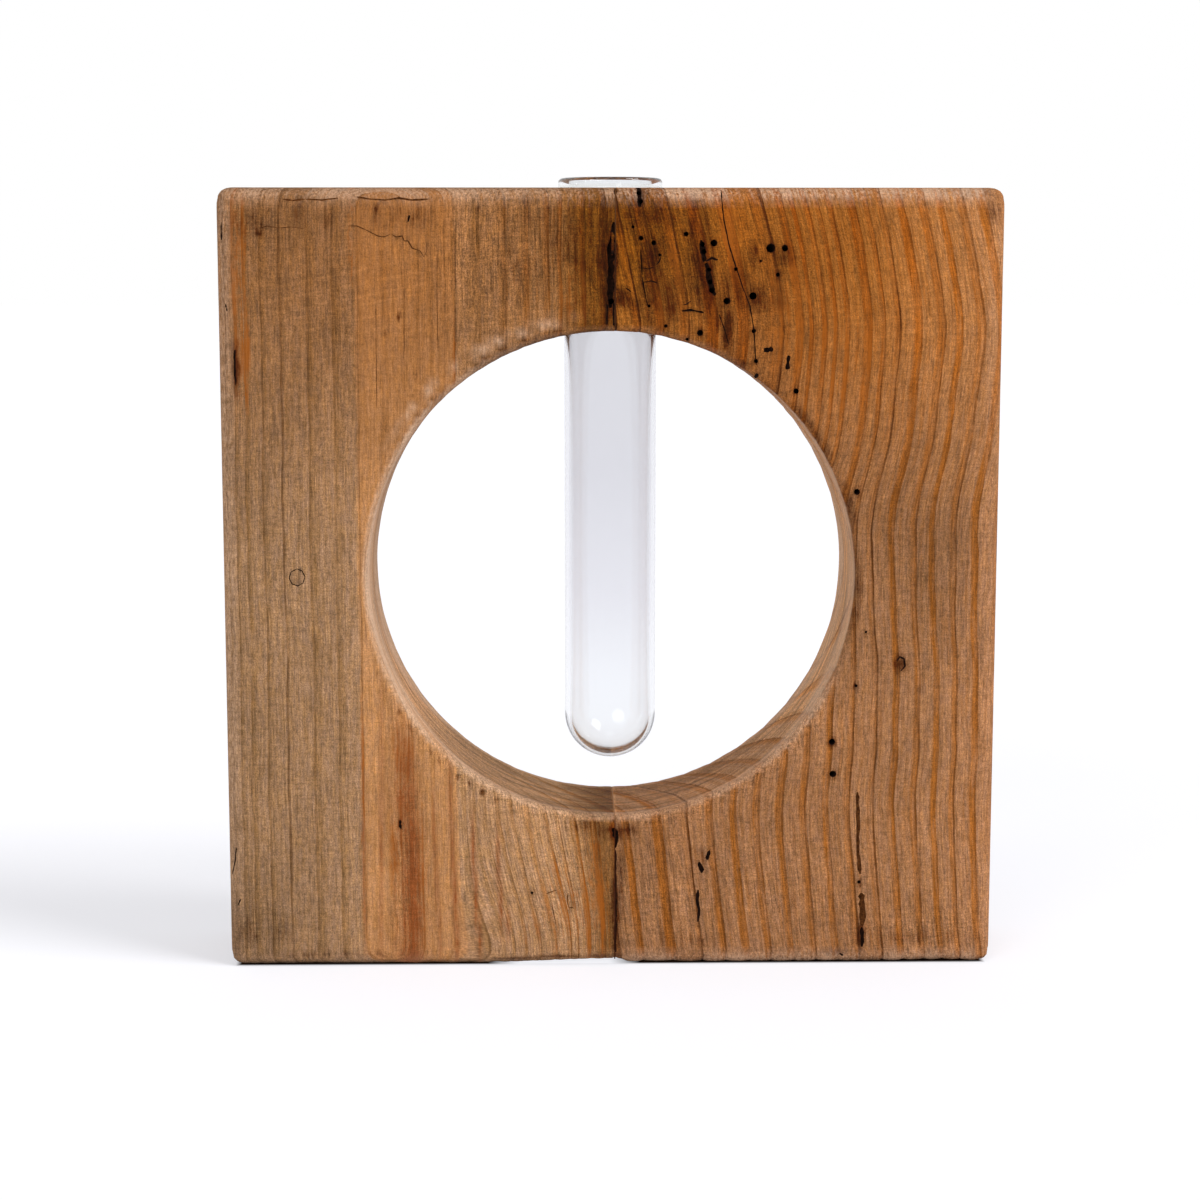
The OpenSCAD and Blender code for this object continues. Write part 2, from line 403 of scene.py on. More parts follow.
# Marks that lie on the grain: their middle in pixels, how wide and high in mm, and how strong
blots = {
    # dark stains with frayed edges, and a thin painted shade along the foot over the hollow under the joint
    "stain": (
        (588, 285, 5.5, 16, 0.5), (604, 262, 3, 14, 0.85), (600, 205, 6, 4, 0.45), (628, 215, 4.5, 7, 0.65),
        (650, 265, 4.5, 14, 0.7), (660, 213, 10, 5, 0.55), (621, 298, 2.2, 2.4, 1.4),
        (627, 304, 1.5, 1.5, 1.1), (652, 305, 3.5, 7, 0.6), (653, 250, 3.5, 3, 0.5), (640, 304, 6, 4, 0.5),
        (694, 228, 3, 9, 0.65), (702, 262, 3.5, 14, 0.75), (735, 282, 5, 7, 0.55), (755, 297, 3, 4, 0.95),
        (770, 300, 5, 4, 0.5), (729, 330, 1.7, 6, 1), (671, 300, 4, 7, 0.6), (785, 256, 3, 3, 0.6),
        (754, 255, 1.6, 4, 0.5), (640, 196, 2.2, 3.5, 1), (235, 366, 1.3, 7, 1), (616, 833, 4.2, 2, 1),
        (607, 829, 2.5, 1, 0.9), (625, 830, 3, 1.2, 0.9),
        (405, 840, 3, 16, 0.25), (411, 890, 3, 16, 0.3), (704, 252, 1.6, 5, 0.95), (710, 280, 1.6, 7, 0.95),
        (610, 272, 2.4, 15, 1.2), (720, 320, 1.3, 3.5, 0.8), (400, 824, 0.7, 1.8, 1), (902, 664, 2, 2.8, 1),
        (862, 936, 1.8, 5, 0.8), (250, 222, 7, 5, 0.45), (299, 214, 3.5, 4, 0.48),
        (326, 216, 2.8, 4.5, 0.42), (400, 215, 14, 5, 0.35),
        # painted shade: the three thin marks at (520, 959), (560, 957) and (600, 956) darken the bottom
        # edge over the hollow
        (530, 213, 9, 5, 0.45), (520, 959, 7, 0.5, 1), (560, 957, 8, 0.5, 1), (600, 956, 7, 0.5, 1),
        (570, 235, 8, 10, 0.5), (520, 265, 9, 10, 0.3), (815, 672, 1.2, 1, 1),
        (747, 755, 1.5, 0.8, 1), (642, 796, 1.6, 0.8, 1), (284, 932, 2.5, 3.5, 0.5), (246, 928, 9, 8, 0.35),
        (297, 577, 1.6, 0.8, 0.3), (700, 858, 2.5, 3, 0.5), (975, 192, 10, 1.6, 0.5), (995, 212, 3, 4, 0.5),
        (925, 937, 20, 2.5, 0.45), (690, 940, 12, 2.5, 0.45), (590, 826, 7, 1.3, 0.8),
        (340, 955, 20, 1.6, 0.45),
        (376, 208, 0.8, 0.8, 1), (479, 206, 0.8, 0.8, 1), (399, 316, 0.6, 0.8, 1), (258, 233, 1, 0.9, 1),
        (389, 296, 0.5, 0.7, 1), (385, 332, 0.5, 0.7, 1), (416, 372, 0.6, 0.8, 1), (836, 953, 3, 1.2, 0.8),
        (621, 885, 1.2, 14, 0.5), (615, 905, 1.3, 15, 0.9), (598, 862, 1, 6, 0.4),
    ),
    # orange-brown streaks
    "rust": (
        (241, 360, 2.6, 11, 1), (237, 262, 2.2, 24, 0.8), (611, 831, 1.6, 2, 1), (402, 755, 3, 9, 1),
        (398, 830, 2, 28, 0.7), (419, 880, 2, 24, 0.7), (786, 320, 7, 16, 0.6), (845, 360, 12, 16, 0.4),
        (725, 240, 5, 14, 0.5), (672, 290, 4, 16, 0.5), (595, 900, 5, 16, 0.8), (570, 295, 0.7, 9, 0.9),
        (580, 300, 6, 12, 0.4), (363, 800, 0.6, 30, 0.9), (455, 420, 0.8, 22, 0.7),
        (351, 240, 1.2, 18, 0.6), (560, 900, 6, 14, 0.5), (530, 930, 6, 6, 0.3),
    ),
    # zones that have gone darker all over
    "shade": (
        (925, 545, 20, 24, 0.75), (860, 250, 8, 10, 0.2), (655, 255, 15, 18, 0.55), (590, 270, 9, 18, 0.2),
        (555, 255, 12, 12, 0.2), (600, 900, 6, 14, 0.2), (262, 922, 14, 13, 0.55), (300, 222, 14, 6, 0.25),
        (640, 880, 6, 20, 0.25), (745, 270, 12, 18, 0.25), (409, 875, 2.6, 22, 0.75),
    ),
    # zones that have stayed paler
    "fair": (
        (738, 212, 5, 10, 0.9), (628, 319, 5, 3.5, 1), (681, 222, 4.5, 7, 0.8), (627, 262, 3, 9, 0.6),
        (470, 230, 8, 10, 0.3), (251, 929, 1.2, 1, 0.8), (255, 933, 1.2, 1, 0.9), (259, 937, 1.2, 1, 0.8),
        (800, 215, 10, 12, 0.2), (950, 260, 14, 26, 0.1), (915, 875, 22, 20, 0.13),
        (455, 880, 17, 24, 0.13), (350, 860, 12, 26, 0.05),
    ),
    # a streak soaked with resin, and thin brown lines along the grain
    "resin": (
        (401, 738, 2, 6, 1.1), (404, 765, 2.5, 9, 1.3), (405, 800, 3, 10, 1.3), (409, 840, 3.1, 10, 1.3),
        (410, 880, 3.2, 10, 1.4), (411, 920, 3.4, 10, 1.4), (410, 950, 3.5, 7, 1.4),
        (364, 850, 0.5, 26, 0.7), (382, 760, 0.55, 20, 0.9), (381, 850, 0.55, 22, 1.1),
        (381, 920, 0.55, 12, 1.1), (450, 800, 0.6, 11, 1.2), (452, 850, 0.6, 10, 1.2),
        (455, 900, 0.6, 10, 1.2), (457, 940, 0.6, 7, 1.2), (434, 830, 0.5, 9, 1),
        (437, 880, 0.55, 10, 1.1), (440, 930, 0.55, 9, 1.1), (473, 850, 0.55, 9, 1),
        (476, 900, 0.55, 9, 1.1),
        (480, 940, 0.55, 6, 1.1), (498, 860, 0.55, 9, 1), (501, 905, 0.55, 7, 1.1), (508, 925, 0.6, 4, 1),
    ),
    # ground that is rougher and more mottled than the rest
    "rough": (
        (600, 250, 14, 26, 1), (650, 250, 22, 26, 1), (560, 250, 14, 16, 0.8), (505, 255, 18, 20, 0.9),
        (740, 290, 18, 22, 0.7), (580, 900, 12, 18, 0.5), (650, 900, 20, 16, 0.5), (408, 870, 4, 26, 1),
        (240, 225, 10, 8, 0.6), (920, 930, 18, 6, 0.7), (230, 930, 10, 10, 0.4), (780, 880, 30, 14, 0.3),
    ),
    # ground that the saw scored
    "sawn": ((350, 285, 30, 14, 1), (300, 450, 20, 40, 0.3), (700, 860, 24, 20, 0.4)),
}


def makeCutter(name, tubes, material):
    # round tubes along the given ways, closed at both ends, as one mesh
    curve = bpy.data.curves.new(name, "CURVE")
    curve.dimensions = "3D"
    curve.bevel_depth = mm
    curve.bevel_resolution = 2
    curve.use_fill_caps = True
    for points, radii in tubes:
        spline = curve.splines.new("POLY")
        spline.points.add(len(points) - 1)
        for spot, point, radius in zip(spline.points, points, radii):
            spot.co = (*(point * mm), 1)
            spot.radius = radius
    cutter = bpy.data.objects.new(name, curve)
    scene.collection.objects.link(cutter)
    mesh = bpy.data.meshes.new_from_object(cutter.evaluated_get(bpy.context.evaluated_depsgraph_get()))
    bpy.data.objects.remove(cutter)
    shape = openMesh(mesh)
    bmesh.ops.recalc_face_normals(shape, faces=shape.faces)
    return newPiece(name, closeMesh(shape, mesh), material)


holeShape = {"slant": (0.35, 0.3), "reach": 0.8, "steps": (-1.2, 0, 1, 2.2, 3.6),
             "widths": (0.95, 0.95, 0.9, 0.8, 0.35)}
channelShape = {"spacing": 1.2, "widths": (0.65, 1.25), "ends": 0.5, "drift": 0.12, "deep": (0.1, 0.3)}


def holeTubes():
    # worm holes go in at a slight slant and narrow to their ends
    rng = np.random.default_rng(7)
    across, up = holeShape["slant"]
    tubes = []
    for px, py, width in wormHoles:
        way = Vector((rng.uniform(-across, across), 1, rng.uniform(-up, up)))
        way = way * max(width, 1) * holeShape["reach"]
        points = [facePoint(px, py) + way * step for step in holeShape["steps"]]
        tubes.append((points, [width / 2 * share for share in holeShape["widths"]]))
    return tubes


def channelTubes(marks, seed):
    # open channels: a tube whose middle lies a little under the face, with an uneven width
    rng = np.random.default_rng(seed)
    tubes = []
    for *way, width in marks:
        corners = [facePoint(*pixel) for pixel in way]
        points = []
        for start, end in zip(corners, corners[1:]):
            count = max(2, round((end - start).length / channelShape["spacing"]))
            points += [start.lerp(end, k / count) for k in range(count)]
        points.append(corners[-1])
        radii = [width / 2 * rng.uniform(*channelShape["widths"]) for _ in points]
        radii[0] *= channelShape["ends"]
        radii[-1] *= channelShape["ends"]
        side, deep = channelShape["drift"], channelShape["deep"]
        drift = [Vector((rng.uniform(-side, side), rng.uniform(*deep), 0)) * width for _ in points]
        tubes.append(([p + d for p, d in zip(points, drift)], radii))
    return tubes


# How the wood has worn, in mm. Waves, dips and nicks: how deep and how long; dips and nicks lie
# within a reach of the edges. A groove runs beside the window's rim: how deep, far out and wide.
# Near the foot the dark lines lie deeper by a share.
wear = {"waves": (0.04, 3.5), "dips": (0.3, 17), "nicks": (0.14, 5), "reach": 7,
        "groove": (0.25, 2.8, 0.45), "grooveFace": (0.8, 0.3), "grooveTop": (95, 60),
        "grooveLeft": (30, 0), "foot": 0.3, "footTop": (9, 3), "top": (198, 201), "ends": (98.5, 99.8)}
# how near a point has to be to the joint, the faces, the top or the window to belong to it, and to the
# axis of the bore, over the window, in mm
nearness = {"joint": 0.35, "jointFace": 0.6, "face": 0.4, "top": 0.5, "window": 0.7, "eased": 2,
            "boreRadius": 12.9, "boreFrom": 150}


def edgeDistance(co):
    # for each point the sum of its two smallest distances to the block's faces
    nearest = np.sort(np.minimum(co - blockLow, blockHigh - co), axis=1)
    return nearest[:, 0] + nearest[:, 1]


def windowDistance(co):
    return np.hypot(co[:, 0], co[:, 2] - windowZ) - windowR


def faceDistance(co):
    return np.minimum(co[:, 1] - blockLow[1], blockHigh[1] - co[:, 1])


def rimGroove(co):
    # a broken groove beside the eased edge of the window, round its lower part
    _, out, wide = wear["groove"]
    beside = np.exp(-((windowDistance(co) - out) / wide) ** 2)
    beside = beside * smoothStep(*wear["grooveFace"], faceDistance(co))
    around = 0.45 + 0.55 * smoothStep(*wear["grooveLeft"], co[:, 0])
    around = smoothStep(*wear["grooveTop"], co[:, 2]) * around
    return beside * around * smoothStep(-0.8, 0.3, ripple(co, 7, 21))


def squareJoint(co, normals, plane):
    # the remesh rounds the edges along the joint, so their points go back to the joint's plane
    near = np.abs(co[:, 0] - plane) < nearness["joint"]
    co[near, 0] = plane
    corner = near & (np.abs(normals[:, 0]) < 0.96)
    normals[corner, 0] = 0
    normals[corner] /= np.maximum(np.linalg.norm(normals[corner], axis=1), 0.01)[:, None]
    faces = ((1, blockLow[1], "face"), (1, blockHigh[1], "face"), (2, blockHigh[2], "top"))
    for axis, place, kind in faces:
        co[corner & (np.abs(co[:, axis] - place) < nearness[kind]), axis] = place
    wall = corner & (np.abs(windowDistance(co)) < nearness["window"])
    wall &= faceDistance(co) > nearness["eased"]
    co[wall, 2] = windowZ + np.sign(co[wall, 2] - windowZ) * math.sqrt(windowR ** 2 - plane ** 2)


def weather(mesh, board, rings):
    # brushed old wood: the dark lines lie sunk, the soft wood stands proud and the edges are worn
    co = readMesh(mesh, "co") / mm
    normals = readMesh(mesh, "normal")
    ends = [corner.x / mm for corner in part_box(board["node"])]
    squareJoint(co, normals, min(ends, key=lambda x: abs(x - jointX)))
    ring, _, heart = rings(co)
    x, y, z = co.T
    seed = board["seed"]
    hollow = 1 - np.sin(math.pi * (ring % 1)) ** 0.45
    uneven = 0.7 + 0.3 * ripple(co * (1, 1, 0.35), 14, seed + 1)
    sink = board["groove"] * hollow * uneven * (1 - 0.6 * heart)
    deep, long = wear["waves"]
    sink += deep * (1 + ripple(co * (1, 1, 0.3), long, seed + 2))
    nearEdge = smoothStep(wear["reach"], 0, edgeDistance(co))
    deep, long = wear["dips"]
    sink += deep * nearEdge * smoothStep(0.1, 1, ripple(co, long, seed + 3))
    deep, long = wear["nicks"]
    sink += deep * nearEdge * smoothStep(0, 1, ripple(co, long, seed + 4))
    sink += wear["foot"] * board["groove"] * hollow * smoothStep(*wear["footTop"], z)
    sink += wear["groove"][0] * rimGroove(co)
    # the outline keeps its size, and the joint and the bore keep their faces
    sink *= 1 - 0.9 * np.maximum(smoothStep(*wear["top"], z), smoothStep(*wear["ends"], np.abs(x)))
    onJoint = (np.abs(x - jointX) < nearness["jointFace"]) & (np.abs(normals[:, 0]) > 0.7)
    inBore = (np.hypot(x, y) < nearness["boreRadius"]) & (z > nearness["boreFrom"])
    inBore &= np.abs(normals[:, 2]) < 0.7
    sink[onJoint | inBore] = 0
    co = np.clip(co - normals * sink[:, None], blockLow, blockHigh)
    mesh.vertices.foreach_set("co", (co * mm).ravel())
    mesh.update()


# How the edges have aged, and where the window's rim and wall carry painted highlight and light. A
# pair is where a look starts and where it is full, in mm: across the block (left, right), up it (rise,
# foot, top), out from the edge (reach) or in from the face (deep).
arrisLook = {"reach": (5, 1.5), "foot": 0.3, "footRight": (0, 8), "rise": (8, 40), "right": (94, 98),
             "left": (20, -20)}
rimLook = {
    "reach": (1.7, 0.9), "right": (10, 40), "left": (0, -30), "foot": 0.35, "footLeft": (-10, -25),
    "rise": (45, 80), "top": (175, 135), "paleDeep": (1.2, 2.4), "paleRise": (60, 85),
    "paleDepth": 5, "moreDepth": 15, "depthRise": (45, 85), "nearReach": (5, 3), "nearFoot": (80, 60),
    "upperRise": (130, 150), "upperLeft": (-6, -16), "patch": 9,
    "darkReach": (3, 1.8), "darkDeep": (3, 1.5), "darkRise": (75, 100),
    "streakOut": 4, "streakWide": 1.1, "streakDeep": (1.5, 0.5),
    "wallReach": (1.2, 0.4), "wallDeep": (1, 3), "wallTop": (135, 165),
}


def arrisMark(co):
    # worn pale, but less at the foot, at the right end and over the left board
    x, _, z = co.T
    foot = arrisLook["foot"] + 0.5 * smoothStep(*arrisLook["footRight"], x)
    pale = foot + (1 - foot) * smoothStep(*arrisLook["rise"], z)
    pale *= 1 - 0.9 * smoothStep(*arrisLook["right"], x)
    pale *= 1 - 0.35 * smoothStep(*arrisLook["left"], x)
    return smoothStep(*arrisLook["reach"], edgeDistance(co)) * pale


def rimMarks(co):
    # the rim is worn pale low down and at the left, and this pale band also paints the highlight of the
    # eased edge and some light on the wall at the left; it has gone dark higher up and at the right, where
    # a pale streak runs beside it over the left board and the wall behind it is pale
    x, _, z = co.T
    fromRim = np.abs(windowDistance(co))
    fromFace = faceDistance(co)
    toRight = smoothStep(*rimLook["right"], x)
    foot = rimLook["foot"] + 0.2 * smoothStep(*rimLook["footLeft"], x)
    pale = smoothStep(*rimLook["top"], z) * (foot + (1 - foot) * smoothStep(*rimLook["rise"], z))
    behind = 0.75 * smoothStep(*rimLook["paleDeep"], fromFace)
    pale *= 1 - toRight * (1 - behind) * smoothStep(*rimLook["paleRise"], z)
    sides = np.clip(smoothStep(*rimLook["left"], x) + toRight, 0, 1)
    depth = rimLook["paleDepth"] + rimLook["moreDepth"] * smoothStep(*rimLook["depthRise"], z) * sides
    rim = smoothStep(*rimLook["reach"], fromRim) * smoothStep(1, 0.5, fromFace / depth) * pale
    near = smoothStep(*rimLook["nearReach"], fromRim) * smoothStep(*rimLook["nearFoot"], z)
    upper = smoothStep(*rimLook["upperRise"], z) * smoothStep(*rimLook["upperLeft"], x)
    patchy = smoothStep(-0.9, 0.2, ripple(co, rimLook["patch"], 31))
    dark = smoothStep(*rimLook["darkReach"], fromRim) * smoothStep(*rimLook["darkDeep"], fromFace) * patchy
    dark *= np.maximum(upper, toRight * smoothStep(*rimLook["darkRise"], z))
    streak = np.exp(-((fromRim - rimLook["streakOut"]) / rimLook["streakWide"]) ** 2)
    streak = streak * smoothStep(*rimLook["streakDeep"], fromFace) * upper * patchy
    # the window's wall, where the wood material paints light on the upright sides, less near the top
    wall = smoothStep(*rimLook["wallReach"], fromRim) * smoothStep(*rimLook["wallDeep"], fromFace)
    wall *= 1 - 0.65 * smoothStep(*rimLook["wallTop"], z)
    return rim + 0.6 * streak, wall, near, dark


def markGrain(mesh, rings):
    # what the wood material follows, as attributes of the mesh
    co = readMesh(mesh, "co") / mm
    normals = readMesh(mesh, "normal")
    ring, grain, heart = rings(co)
    rim, wall, nearRim, darkRim = rimMarks(co)
    alongRim = np.arctan2(co[:, 2] - windowZ, np.abs(co[:, 0])) * windowR
    marks = {
        "ring": ring,
        "grain": grain,
        "turned": np.column_stack([alongRim, co[:, 1], np.zeros(len(co))]),
        "heart": heart,
        "arris": arrisMark(co),
        "rim": rim,
        "wall": wall,
        "endGrain": smoothStep(0.55, 0.95, np.abs(normals[:, 2])),
    }
    for name, spots in blots.items():
        marks[name] = np.zeros(len(co))
        for px, py, wide, high, strength in spots:
            off = (co - facePoint(px, py)) / (wide, max(wide, 6), high)
            marks[name] = np.maximum(marks[name], strength * np.exp(-np.sum(off ** 2, axis=1)))
    marks["stain"] = np.maximum(marks["stain"], 0.8 * rimGroove(co))
    for px, py, width in wormHoles:
        off = np.linalg.norm(co - facePoint(px, py), axis=1) / (0.35 + 0.7 * width)
        marks["stain"] = np.maximum(marks["stain"], 0.7 * np.exp(-off ** 2))
    marks["rough"] = np.maximum(marks["rough"], 0.6 * nearRim)
    marks["stain"] = np.maximum(marks["stain"], 0.5 * darkRim)
    for name, values in marks.items():
        vector = values.ndim == 2
        layer = mesh.attributes.new(name, "FLOAT_VECTOR" if vector else "FLOAT", "POINT")
        layer.data.foreach_set("vector" if vector else "value", values.astype(np.float32).ravel())


# Places in the wood, in mm: heights between which its tones change, are dim and are darkest at the
# foot, where shade is painted along the bottom edge, and how far from the joint its rings are strong
woodPlaces = {"rise": (95, 190), "dim": (0, 65), "foot": (0.2, 2.2), "nearJoint": (14, 34)}


def woodNoise(add, marks):
    # pattern sizes: across, through and along the grain, in mm or in years and mm, then detail
    patterns = {
        "ragged": ("grain", 1.6, 1.6, 12, 2),
        "fibre": ("grain", 0.34, 0.34, 7, 3),
        "fleck": ("grain", 0.5, 0.5, 8, 1),
        "mottle": ("grain", 0.6, 0.6, 1.6, 3),
        "grit": ("grain", 0.32, 0.32, 0.34, 1),
        "warmth": ("grain", 1.1, 1.1, 4, 3),
        "scratch": ("grain", 3.5, 3.5, 0.5, 2),
        "pore": ("grain", 0.55, 0.55, 1.3, 1),
        "patch": ("grain", 14, 14, 30, 3),
        "worn": ("grain", 2.6, 2.6, 6, 5),
        "strand": ("rings", 0.16, 1, 26, 3),
        "band": ("rings", 0.45, 1, 20, 3),
        "routed": ("turned", 30, 2.4, 1, 4),
    }
    noise = {}
    for name, (space, wide, deep, long, detail) in patterns.items():
        scaled = add("ShaderNodeVectorMath", [marks[space], (1 / wide, 1 / deep, 1 / long)],
                     operation="MULTIPLY")
        noise[name] = add("ShaderNodeTexNoise", [scaled, 1, detail, 0.6])
    return noise


def woodYears(add, board, marks, noise, rise):
    # the year at this point, and how far the year has come; the line is full at 0.965
    jagged = add("ShaderNodeMath", [noise["ragged"], 0.16, marks["ring"]], operation="MULTIPLY_ADD")
    jagged = add("ShaderNodeMath", [jagged, 0.115], operation="SUBTRACT")
    part = add("ShaderNodeMath", [jagged], operation="FRACT")
    number = add("ShaderNodeMath", [jagged], operation="FLOOR")
    year = add("ShaderNodeTexWhiteNoise", [number], noise_dimensions="1D")
    lateFrom = add("ShaderNodeMapRange", [rise, 0, 1, *board["lateFrom"]])
    lateFrom = add("ShaderNodeMath", [noise["strand"], 0.35, lateFrom], operation="MULTIPLY_ADD")
    lateFrom = add("ShaderNodeMath", [lateFrom, 0.175], operation="SUBTRACT")
    lateFull = add("ShaderNodeMath", [lateFrom, board["lateSoft"]], operation="ADD")
    late = add("ShaderNodeMapRange", [part, lateFrom, lateFull, 0, 1], interpolation_type="SMOOTHSTEP")
    line = add("ShaderNodeValToRGB", [part], stops=(
        (0, 0.4), (0.02, 0), (0.88, 0), (0.93, 1), (0.985, 1), (1, 0.4)))
    calm = add("ShaderNodeMapRange", [marks["heart"], 0, 1, 1, 0.45])
    shares = []
    for pattern, share, low, high in ((late, board["lateShare"], 0, 1), (line, board["lineShare"], 1, 0)):
        yearShare = add("ShaderNodeMapRange", [year, low, high, share * 0.3, share])
        along = add("ShaderNodeMapRange", [noise["band"], 0.3, 0.58, 0.4, 1.2])
        for factor in (yearShare, along, calm):
            pattern = add("ShaderNodeMath", [pattern, factor], operation="MULTIPLY", use_clamp=True)
        shares.append(pattern)
    lateShare, lineShare = shares
    streaks = add("ShaderNodeMapRange", [noise["strand"], 0.45, 0.7, -0.06, board["streaks"]])
    lateShare = add("ShaderNodeMath", [lateShare, streaks], operation="ADD", use_clamp=True)
    return year, line, lateShare, lineShare


def woodColour(add, board, marks, noise, rise, lateShare, lineShare):
    # the board's and its heartwood's tones, times those of the year, the painted light on the window's
    # upright wall and warmer spots
    side = add("ShaderNodeSeparateXYZ", [marks["grain"]], out="X")
    low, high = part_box(board["node"])
    across = add("ShaderNodeMapRange", [side, low.x / mm, high.x / mm, 0, 1])
    lowTone, topTone = (
        add("ShaderNodeValToRGB", [across], stops=board[key]) for key in ("lowTone", "topTone"))
    colour = add("ShaderNodeMix", [rise, lowTone, topTone], data_type="RGBA")
    heartTones = [linear(code) for code in board["heartTones"]]
    heartTone = add("ShaderNodeMix", [rise, *heartTones], data_type="RGBA")
    ragged = add("ShaderNodeMath", [noise["fibre"], 0.8, marks["heart"]], operation="MULTIPLY_ADD")
    heart = add("ShaderNodeMapRange", [ragged, 0.6, 1.2, 0, 1])
    colour = add("ShaderNodeMix", [heart, colour, heartTone], data_type="RGBA")
    fromJoint = add("ShaderNodeMath", [side], operation="ABSOLUTE")
    near = add("ShaderNodeMapRange", [fromJoint, *woodPlaces["nearJoint"], 1, 0])
    early, lateTone, lineTone = (
        add("ShaderNodeMix", [near, *((*tone, 1) for tone in board[key])], data_type="RGBA")
        for key in ("early", "late", "line"))
    ringTone = add("ShaderNodeMix", [lateShare, early, lateTone], data_type="RGBA")
    ringTone = add("ShaderNodeMix", [lineShare, ringTone, lineTone], data_type="RGBA")
    # painted light: the window's upright wall is brightened by the board's wall factor, less where it faces
    # up
    wallLightShare = add("ShaderNodeMath", [marks["endGrain"], -0.8, 1], operation="MULTIPLY_ADD")
    wallLightShare = add("ShaderNodeMath", [wallLightShare, marks["wall"]], operation="MULTIPLY")
    paintedWallLight = add("ShaderNodeMix", [wallLightShare, (1, 1, 1, 1), (*board["wall"], 1)], data_type="RGBA")
    warmth = add("ShaderNodeMapRange", [noise["warmth"], 0.35, 0.65, 0, 1])
    hue = add("ShaderNodeMix", [warmth, (1.03, 0.99, 0.88, 1), (0.98, 1, 1.1, 1)], data_type="RGBA")
    for factor in (ringTone, hue, paintedWallLight):
        colour = add("ShaderNodeVectorMath", [colour, factor], operation="MULTIPLY")
    return colour


def woodTexture(add, board, marks, noise, height):
    # the pale slanting scores that the saw left, and the router's marks along the window's wall
    slant = add("ShaderNodeVectorMath", [marks["grain"], (-0.2, 0, 1)], operation="DOT_PRODUCT",
                out="Value")
    saw = add("ShaderNodeTexNoise", {"W": slant, "Scale": 0.9, "Detail": 1}, noise_dimensions="1D")
    scored = add("ShaderNodeMapRange", [saw, 0.58, 0.7, 0, 0.16])
    scored = add("ShaderNodeMath", [scored, marks["sawn"], 1], operation="MULTIPLY_ADD")
    routed = add("ShaderNodeMapRange", [noise["routed"], 0.36, 0.64, -0.42, 0.42])
    routed = add("ShaderNodeMath", [routed, marks["wall"], 1], operation="MULTIPLY_ADD")
    texture = [add("ShaderNodeMapRange", [noise[name], *span]) for name, *span in (
        ("mottle", 0.3, 0.7, 0.82, 1.18), ("grit", 0.3, 0.7, 0.7, 1.3), ("fibre", 0.3, 0.7, 0.7, 1.3),
        ("scratch", 0.3, 0.7, 0.86, 1.14), ("pore", 0.58, 0.68, 1, 0.84), ("fleck", 0.6, 0.7, 1.01, 0.84))]
    tones = [add("ShaderNodeMapRange", [source, *span]) for source, *span in (
        (noise["strand"], 0.3, 0.7, 1.08, 0.92), (noise["patch"], 0.3, 0.7, 0.9, 1.1),
        # the tone by height at the foot is painted shade along the bottom edge
        (height, *woodPlaces["dim"], 0.93, 1), (height, *woodPlaces["foot"], 0.25, 1),
        (marks["shade"], 0, 1, 1, 0.62), (marks["fair"], 0, 1, 1, 1.35),
        # end grain is darker in itself, and this factor also paints shade on the window's floor
        (marks["endGrain"], 0, 1, 1, board["endGrain"]))]
    tones += [scored, routed]
    # the texture is calmer in the heartwood and on the window's wall, and stronger on rough ground
    contrast = 1
    for name, share in (("heart", -0.3), ("rough", 0.6), ("wall", -0.4)):
        contrast = add("ShaderNodeMath", [marks[name], share, contrast], operation="MULTIPLY_ADD")
    tone = texture[0]
    for more in texture[1:]:
        tone = add("ShaderNodeMath", [tone, more], operation="MULTIPLY")
    tone = add("ShaderNodeMath", [tone, contrast], operation="POWER")
    fine = add("ShaderNodeMath", [tone, 0.6], operation="POWER")
    for more in tones:
        tone = add("ShaderNodeMath", [tone, more], operation="MULTIPLY")
    return tone, fine


def woodCovers(add, marks, noise, year, lateShare, fine, colour):
    # rust lies in the late wood, then stains and resin soak it, and the worn edges come out pale; on the
    # window's rim the pale is also a painted highlight
    frayed = add("ShaderNodeMath", [noise["worn"], noise["strand"]], operation="ADD")
    frayed = add("ShaderNodeMath", [frayed, noise["mottle"]], operation="ADD")
    frayed = add("ShaderNodeMapRange", [frayed, 1, 2, -0.65, 0.65])
    inLate = add("ShaderNodeMath", [lateShare, 0.7, -0.35], operation="MULTIPLY_ADD")
    inLate = add("ShaderNodeMath", [inLate, frayed], operation="ADD")
    for name, fray, blend, code, most in (("rust", inLate, "MIX", "#9a5418", 0.8),
                                          ("stain", frayed, "MULTIPLY", "#8c7154", 1)):
        edge = add("ShaderNodeMath", [marks[name], fray], operation="ADD")
        share = add("ShaderNodeMapRange", [edge, 0.15, 0.85, 0, most])
        present = add("ShaderNodeMapRange", [marks[name], 0.05, 0.3, 0, 1])
        share = add("ShaderNodeMath", [share, present], operation="MULTIPLY")
        colour = add("ShaderNodeMix", [share, colour, linear(code)], data_type="RGBA", blend_type=blend)
    rubbed = add("ShaderNodeMath", [noise["strand"], noise["mottle"]], operation="ADD")
    yearCover = add("ShaderNodeMapRange", [year, 0, 1, -0.25, 0.15])
    rubbed = add("ShaderNodeMath", [rubbed, yearCover], operation="ADD")
    # the rim's pale colour is worn wood and also a painted highlight on the window's eased edge
    for name, low, high, code in (("resin", 0.45, 1, "#854923"), ("arris", 0.1, 0.95, "#c8a488"),
                                  ("rim", 0.4, 1, "#cfab8e")):
        cover = add("ShaderNodeMapRange", [rubbed, 0.76, 1.16, low, high])
        share = add("ShaderNodeMath", [marks[name], cover], operation="MULTIPLY", use_clamp=True)
        tint = add("ShaderNodeVectorMath", {"Vector": linear(code)[:3], "Scale": fine}, operation="SCALE")
        colour = add("ShaderNodeMix", [share, colour, tint], data_type="RGBA")
    return colour


